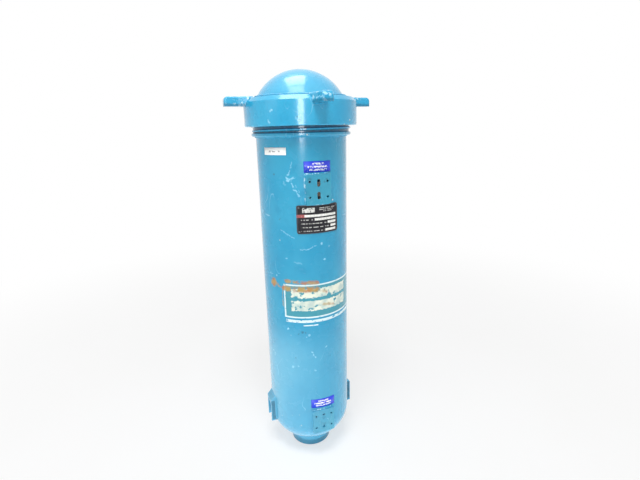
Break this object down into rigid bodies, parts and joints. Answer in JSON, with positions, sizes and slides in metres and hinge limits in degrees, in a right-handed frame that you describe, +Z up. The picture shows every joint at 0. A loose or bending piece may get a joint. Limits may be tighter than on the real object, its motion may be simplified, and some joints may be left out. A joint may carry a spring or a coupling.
{
  "type": "bag filter housing",
  "caption": "Upright pipe-bodied bag filter housing: screw-on domed cap with wrench lugs, perforated basket with bail and felt bag inside, side inlet, bottom outlet and leg sockets.",
  "frame": {"origin": "centre of the outlet coupling's bottom face, which the housing stands on", "axes": "+Z up along the vessel's axis, -Y towards the front with the pads and nameplate, +Y through the inlet coupling at the rear"},
  "size_m": [0.2766, 0.2766, 0.7781],
  "materials": {
    "vessel_enamel": "gloss blue-green enamel with scratches and small chips",
    "cap_enamel": "gloss blue-green enamel, chipped on the lugs",
    "nameplate_enamel": "black enamelled sheet with bare fields",
    "rivet_steel": "plain drive rivets",
    "seal_rubber": "moulded black rubber",
    "basket_steel": "dull stainless sheet and wire",
    "bag_felt": "off-white needle felt",
    "bag_ring_plastic": "pale moulded plastic"
  },
  "bodies": {
    "housing": {"shell_tube": "vessel_enamel", "bottom_head": "vessel_enamel", "outlet_coupling": "vessel_enamel", "inlet_coupling": "vessel_enamel", "neck_collar": "vessel_enamel", "bag_seat_ring": "vessel_enamel", "upper_pad": "vessel_enamel", "lower_pad": "vessel_enamel", "leg_socket_right": "vessel_enamel", "leg_socket_left": "vessel_enamel", "nameplate": "nameplate_enamel", "nameplate_rivets": "rivet_steel"},
    "cap_seal": {"cap_o_ring": "seal_rubber"},
    "cap": {"cap_ring": "cap_enamel", "cap_dome": "cap_enamel", "lug_right": "cap_enamel", "lug_rear": "cap_enamel", "lug_left": "cap_enamel", "lug_front": "cap_enamel"},
    "basket": {"basket_wall": "basket_steel", "basket_rim": "basket_steel", "basket_gasket": "seal_rubber", "basket_floor": "basket_steel", "bail_ears": "basket_steel"},
    "bail": {"basket_bail": "basket_steel"},
    "bag": {"filter_bag": "bag_felt", "bag_ring": "bag_ring_plastic"}
  },
  "joints": [
    {"name": "cap_lift", "type": "slide", "parent": "housing", "child": "cap_seal", "axis": [0, 0, 1], "range_m": [0, 0.0345]},
    {"name": "cap_turn", "type": "hinge", "parent": "cap_seal", "child": "cap", "pos_m": [0, 0, 0.7], "axis": [0, 0, 1], "range_deg": [0, 1530]},
    {"name": "basket_lift", "type": "slide", "parent": "housing", "child": "basket", "axis": [0, 0, 1], "range_m": [0, 0.09]},
    {"name": "bail_swing", "type": "hinge", "parent": "basket", "child": "bail", "pos_m": [0, 0, 0.58125], "axis": [1, 0, 0], "range_deg": [0, 180]},
    {"name": "bag_lift", "type": "slide", "parent": "basket", "child": "bag", "axis": [0, 0, 1], "range_m": [0, 0.045]}
  ],
  "couplings": [
    {"joint": "cap_lift", "follows": "cap_turn", "m_per_rad": 0.0012732}
  ]
}
